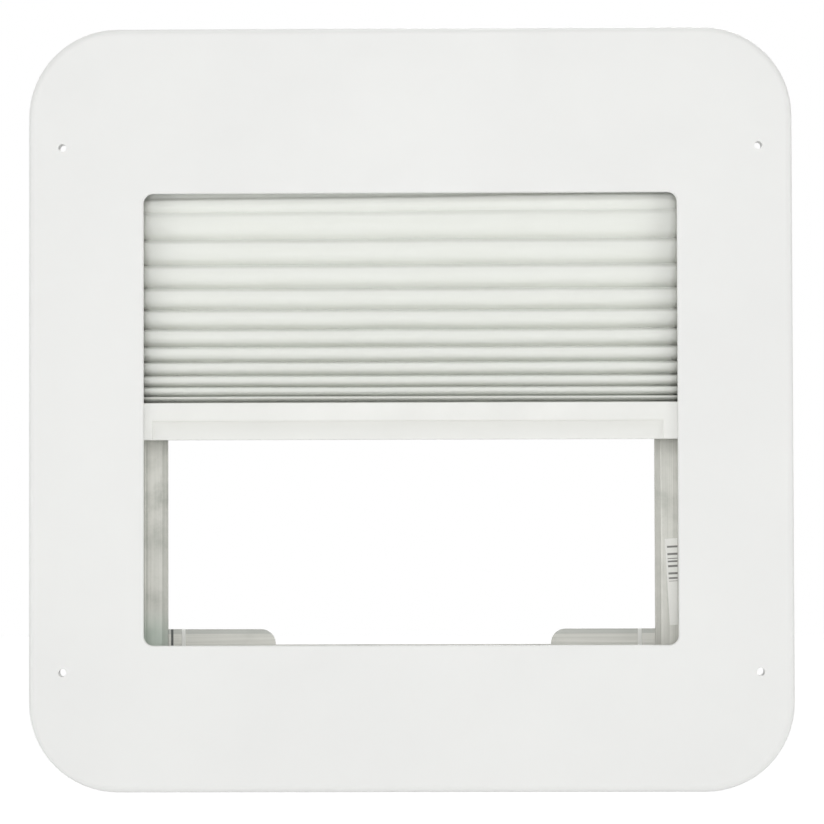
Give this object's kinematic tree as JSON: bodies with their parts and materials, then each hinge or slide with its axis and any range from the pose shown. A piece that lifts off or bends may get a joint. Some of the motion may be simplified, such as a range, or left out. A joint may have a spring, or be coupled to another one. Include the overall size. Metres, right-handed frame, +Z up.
{
  "type": "pleated roof vent shade in a trim frame",
  "caption": "Square trim panel with a sliding pleated shade, handle rail and aluminium channel frame, for a roof vent or small window.",
  "frame": {"origin": "middle of the four mounting holes, on the plane of the panel's rear rim", "axes": "+X to the right and +Z up as seen from the room; the panel's face looks to -Y and the channel frame stands out to +Y"},
  "size_m": [0.559, 0.0344, 0.559],
  "materials": {
    "panel_white": "moulded, satin off-white",
    "mill_aluminium": "mill finish, lightly streaked",
    "rail_white": "white powder coat, satin",
    "cap_white": "moulded, satin",
    "strip_white": "extruded, satin",
    "shade_fabric": "pleated non-woven, matt",
    "fixing_steel": "zinc plated",
    "rivet_aluminium": "plain, satin",
    "glide_ivory": "self-lubricating, smooth",
    "spring_steel": "cold rolled",
    "label_paper": "coated, matt"
  },
  "bodies": {
    "frame": {"trim_panel": "panel_white", "side_channel_left": "mill_aluminium", "side_channel_right": "mill_aluminium", "head_channel": "mill_aluminium", "sill_channel": "mill_aluminium", "corner_rivets": "rivet_aluminium", "channel_screws": "fixing_steel", "head_rail": "rail_white", "head_strip": "strip_white", "head_rail_screws": "fixing_steel", "pleated_shade": "shade_fabric", "part_label": "label_paper"},
    "handle": {"handle_rail": "rail_white", "handle_strip": "strip_white", "end_cap_left": "cap_white", "end_cap_right": "cap_white", "cap_screws": "fixing_steel", "glide_pad": "glide_ivory", "brake_shoe": "glide_ivory", "brake_spring": "spring_steel"}
  },
  "joints": [
    {"name": "shade_travel", "type": "slide", "parent": "frame", "child": "handle", "axis": [0, 0, 1], "range_m": [-0.155, 0.14], "deforming": ["pleated_shade"]}
  ]
}
